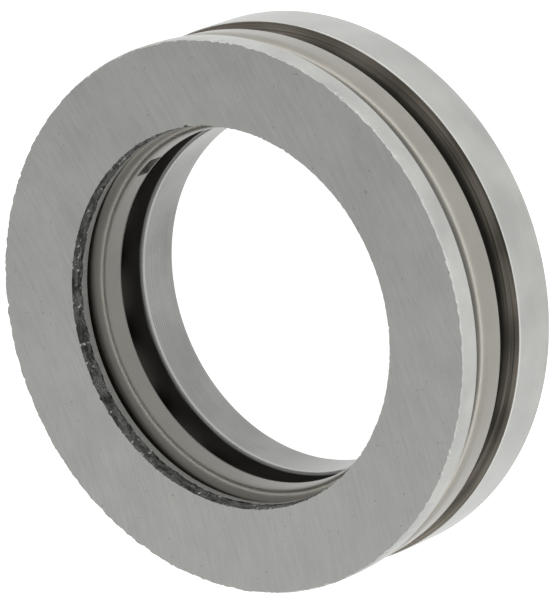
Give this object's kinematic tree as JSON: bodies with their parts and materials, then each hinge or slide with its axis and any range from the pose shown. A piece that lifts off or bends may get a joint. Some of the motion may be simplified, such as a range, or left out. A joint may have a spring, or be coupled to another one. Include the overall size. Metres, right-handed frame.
{
  "type": "thrust ball bearing",
  "caption": "Single-direction thrust ball bearing: a thick and a thin flat washer with a ring of balls between them in a pressed-steel channel cage.",
  "frame": {"origin": "centre of the shaft washer's flat seat face, on the bearing's axis", "axes": "+Z along the bearing's axis from the thick shaft washer to the thin housing washer; +X and +Y lie in the seat plane, and the slot in the cage's inner flange is 128 degrees from +X at rest"},
  "size_m": [0.1, 0.1, 0.027],
  "materials": {
    "ground_steel": "ground bearing steel, satin, with fine grinding lines",
    "cage_steel": "pressed sheet steel, smooth, warm grey, semi-gloss",
    "ball_steel": "polished bearing steel"
  },
  "bodies": {
    "shaft_washer": {"shaft_washer": "ground_steel"},
    "housing_washer": {"housing_washer": "ground_steel"},
    "cage": {"cage": "cage_steel"},
    "ball_01": {"ball_01": "ball_steel"},
    "ball_02": {"ball_02": "ball_steel"},
    "ball_03": {"ball_03": "ball_steel"},
    "ball_04": {"ball_04": "ball_steel"},
    "ball_05": {"ball_05": "ball_steel"},
    "ball_06": {"ball_06": "ball_steel"},
    "ball_07": {"ball_07": "ball_steel"},
    "ball_08": {"ball_08": "ball_steel"},
    "ball_09": {"ball_09": "ball_steel"},
    "ball_10": {"ball_10": "ball_steel"},
    "ball_11": {"ball_11": "ball_steel"},
    "ball_12": {"ball_12": "ball_steel"},
    "ball_13": {"ball_13": "ball_steel"},
    "ball_14": {"ball_14": "ball_steel"},
    "ball_15": {"ball_15": "ball_steel"},
    "ball_16": {"ball_16": "ball_steel"},
    "ball_17": {"ball_17": "ball_steel"}
  },
  "joints": [
    {"name": "housing_washer_spin", "type": "hinge", "parent": "shaft_washer", "child": "housing_washer", "pos_m": [0, 0, 0.0249], "axis": [0, 0, 1], "continuous": true},
    {"name": "cage_spin", "type": "hinge", "parent": "shaft_washer", "child": "cage", "pos_m": [0, 0, 0.016], "axis": [0, 0, 1], "continuous": true},
    {"name": "ball_01_spin", "type": "hinge", "parent": "cage", "child": "ball_01", "pos_m": [0.0412, 0, 0.016], "axis": [1, 0, 0], "continuous": true},
    {"name": "ball_02_spin", "type": "hinge", "parent": "cage", "child": "ball_02", "pos_m": [0.03842, 0.01488, 0.016], "axis": [0.9325, 0.3612, 0], "continuous": true},
    {"name": "ball_03_spin", "type": "hinge", "parent": "cage", "child": "ball_03", "pos_m": [0.03045, 0.02776, 0.016], "axis": [0.739, 0.6737, 0], "continuous": true},
    {"name": "ball_04_spin", "type": "hinge", "parent": "cage", "child": "ball_04", "pos_m": [0.01836, 0.03688, 0.016], "axis": [0.4457, 0.8952, 0], "continuous": true},
    {"name": "ball_05_spin", "type": "hinge", "parent": "cage", "child": "ball_05", "pos_m": [0.0038, 0.04102, 0.016], "axis": [0.0923, 0.9957, 0], "continuous": true},
    {"name": "ball_06_spin", "type": "hinge", "parent": "cage", "child": "ball_06", "pos_m": [-0.01127, 0.03963, 0.016], "axis": [-0.2737, 0.9618, 0], "continuous": true},
    {"name": "ball_07_spin", "type": "hinge", "parent": "cage", "child": "ball_07", "pos_m": [-0.02483, 0.03288, 0.016], "axis": [-0.6026, 0.798, 0], "continuous": true},
    {"name": "ball_08_spin", "type": "hinge", "parent": "cage", "child": "ball_08", "pos_m": [-0.03503, 0.02169, 0.016], "axis": [-0.8502, 0.5264, 0], "continuous": true},
    {"name": "ball_09_spin", "type": "hinge", "parent": "cage", "child": "ball_09", "pos_m": [-0.0405, 0.00757, 0.016], "axis": [-0.983, 0.1837, 0], "continuous": true},
    {"name": "ball_10_spin", "type": "hinge", "parent": "cage", "child": "ball_10", "pos_m": [-0.0405, -0.00757, 0.016], "axis": [-0.983, -0.1837, 0], "continuous": true},
    {"name": "ball_11_spin", "type": "hinge", "parent": "cage", "child": "ball_11", "pos_m": [-0.03503, -0.02169, 0.016], "axis": [-0.8502, -0.5264, 0], "continuous": true},
    {"name": "ball_12_spin", "type": "hinge", "parent": "cage", "child": "ball_12", "pos_m": [-0.02483, -0.03288, 0.016], "axis": [-0.6026, -0.798, 0], "continuous": true},
    {"name": "ball_13_spin", "type": "hinge", "parent": "cage", "child": "ball_13", "pos_m": [-0.01127, -0.03963, 0.016], "axis": [-0.2737, -0.9618, 0], "continuous": true},
    {"name": "ball_14_spin", "type": "hinge", "parent": "cage", "child": "ball_14", "pos_m": [0.0038, -0.04102, 0.016], "axis": [0.0923, -0.9957, 0], "continuous": true},
    {"name": "ball_15_spin", "type": "hinge", "parent": "cage", "child": "ball_15", "pos_m": [0.01836, -0.03688, 0.016], "axis": [0.4457, -0.8952, 0], "continuous": true},
    {"name": "ball_16_spin", "type": "hinge", "parent": "cage", "child": "ball_16", "pos_m": [0.03045, -0.02776, 0.016], "axis": [0.739, -0.6737, 0], "continuous": true},
    {"name": "ball_17_spin", "type": "hinge", "parent": "cage", "child": "ball_17", "pos_m": [0.03842, -0.01488, 0.016], "axis": [0.9325, -0.3612, 0], "continuous": true}
  ],
  "couplings": [
    {"joint": "cage_spin", "follows": "housing_washer_spin", "ratio": 0.5},
    {"joint": "ball_01_spin", "follows": "housing_washer_spin", "ratio": -2.8836},
    {"joint": "ball_02_spin", "follows": "housing_washer_spin", "ratio": -2.8836},
    {"joint": "ball_03_spin", "follows": "housing_washer_spin", "ratio": -2.8836},
    {"joint": "ball_04_spin", "follows": "housing_washer_spin", "ratio": -2.8836},
    {"joint": "ball_05_spin", "follows": "housing_washer_spin", "ratio": -2.8836},
    {"joint": "ball_06_spin", "follows": "housing_washer_spin", "ratio": -2.8836},
    {"joint": "ball_07_spin", "follows": "housing_washer_spin", "ratio": -2.8836},
    {"joint": "ball_08_spin", "follows": "housing_washer_spin", "ratio": -2.8836},
    {"joint": "ball_09_spin", "follows": "housing_washer_spin", "ratio": -2.8836},
    {"joint": "ball_10_spin", "follows": "housing_washer_spin", "ratio": -2.8836},
    {"joint": "ball_11_spin", "follows": "housing_washer_spin", "ratio": -2.8836},
    {"joint": "ball_12_spin", "follows": "housing_washer_spin", "ratio": -2.8836},
    {"joint": "ball_13_spin", "follows": "housing_washer_spin", "ratio": -2.8836},
    {"joint": "ball_14_spin", "follows": "housing_washer_spin", "ratio": -2.8836},
    {"joint": "ball_15_spin", "follows": "housing_washer_spin", "ratio": -2.8836},
    {"joint": "ball_16_spin", "follows": "housing_washer_spin", "ratio": -2.8836},
    {"joint": "ball_17_spin", "follows": "housing_washer_spin", "ratio": -2.8836}
  ]
}
